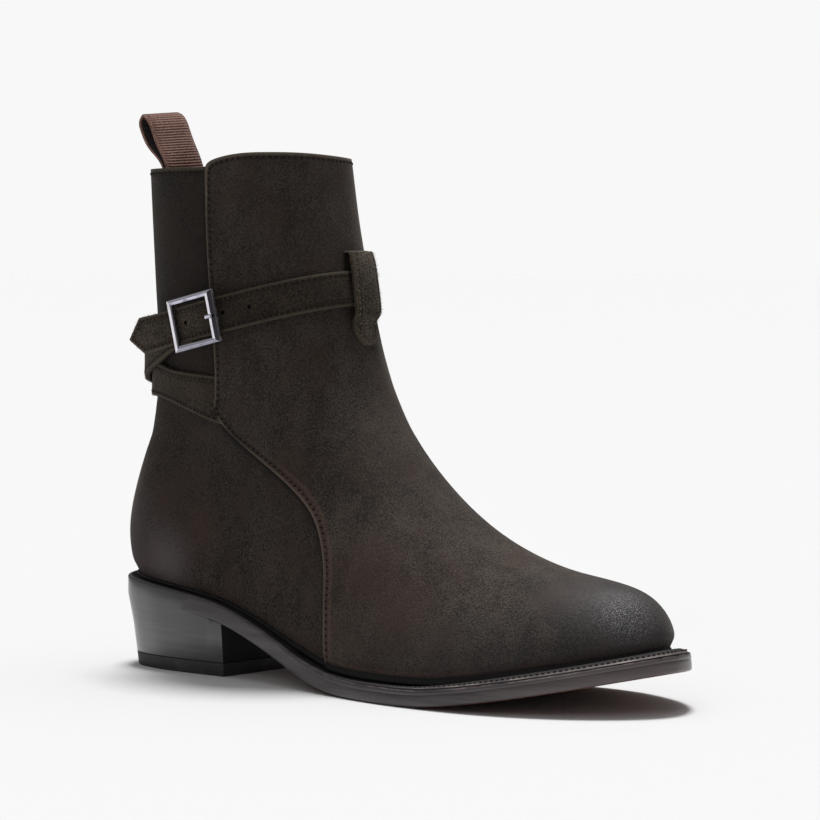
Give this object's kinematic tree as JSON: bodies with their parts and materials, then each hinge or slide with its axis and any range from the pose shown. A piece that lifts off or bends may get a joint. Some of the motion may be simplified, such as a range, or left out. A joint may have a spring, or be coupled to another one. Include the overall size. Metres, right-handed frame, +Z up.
{
  "type": "suede ankle boot",
  "caption": "Right-foot suede ankle boot with a crossed ankle strap, square buckle, front strap keeper, pull loop, welted leather sole and low stacked heel.",
  "frame": {"origin": "on the floor under the middle of the heel", "axes": "+X forward to the toe, +Y to the inner (medial) side, +Z up"},
  "size_m": [0.3036, 0.1045, 0.2544],
  "materials": {
    "upper_suede": "dark olive-brown suede nap",
    "strap_suede": "dark olive-brown suede with fuzzy cut edges",
    "sole_edge": "black edge dressing, satin",
    "heel_stack": "black edge dressing, polished",
    "top_lift_rubber": "matt black rubber",
    "insole_leather": "plain tan leather",
    "buckle_metal": "worn polished nickel",
    "loop_webbing": "ribbed brown webbing"
  },
  "bodies": {
    "root": {"outsole": "sole_edge", "welt": "sole_edge", "heel": "heel_stack", "top_lift": "top_lift_rubber", "insole": "insole_leather", "upper": "upper_suede", "vamp": "upper_suede", "ankle_strap": "strap_suede", "buckle_strap": "strap_suede", "strap_keeper": "strap_suede", "buckle_frame": "buckle_metal", "buckle_prong": "buckle_metal", "pull_loop": "loop_webbing"}
  },
  "joints": []
}
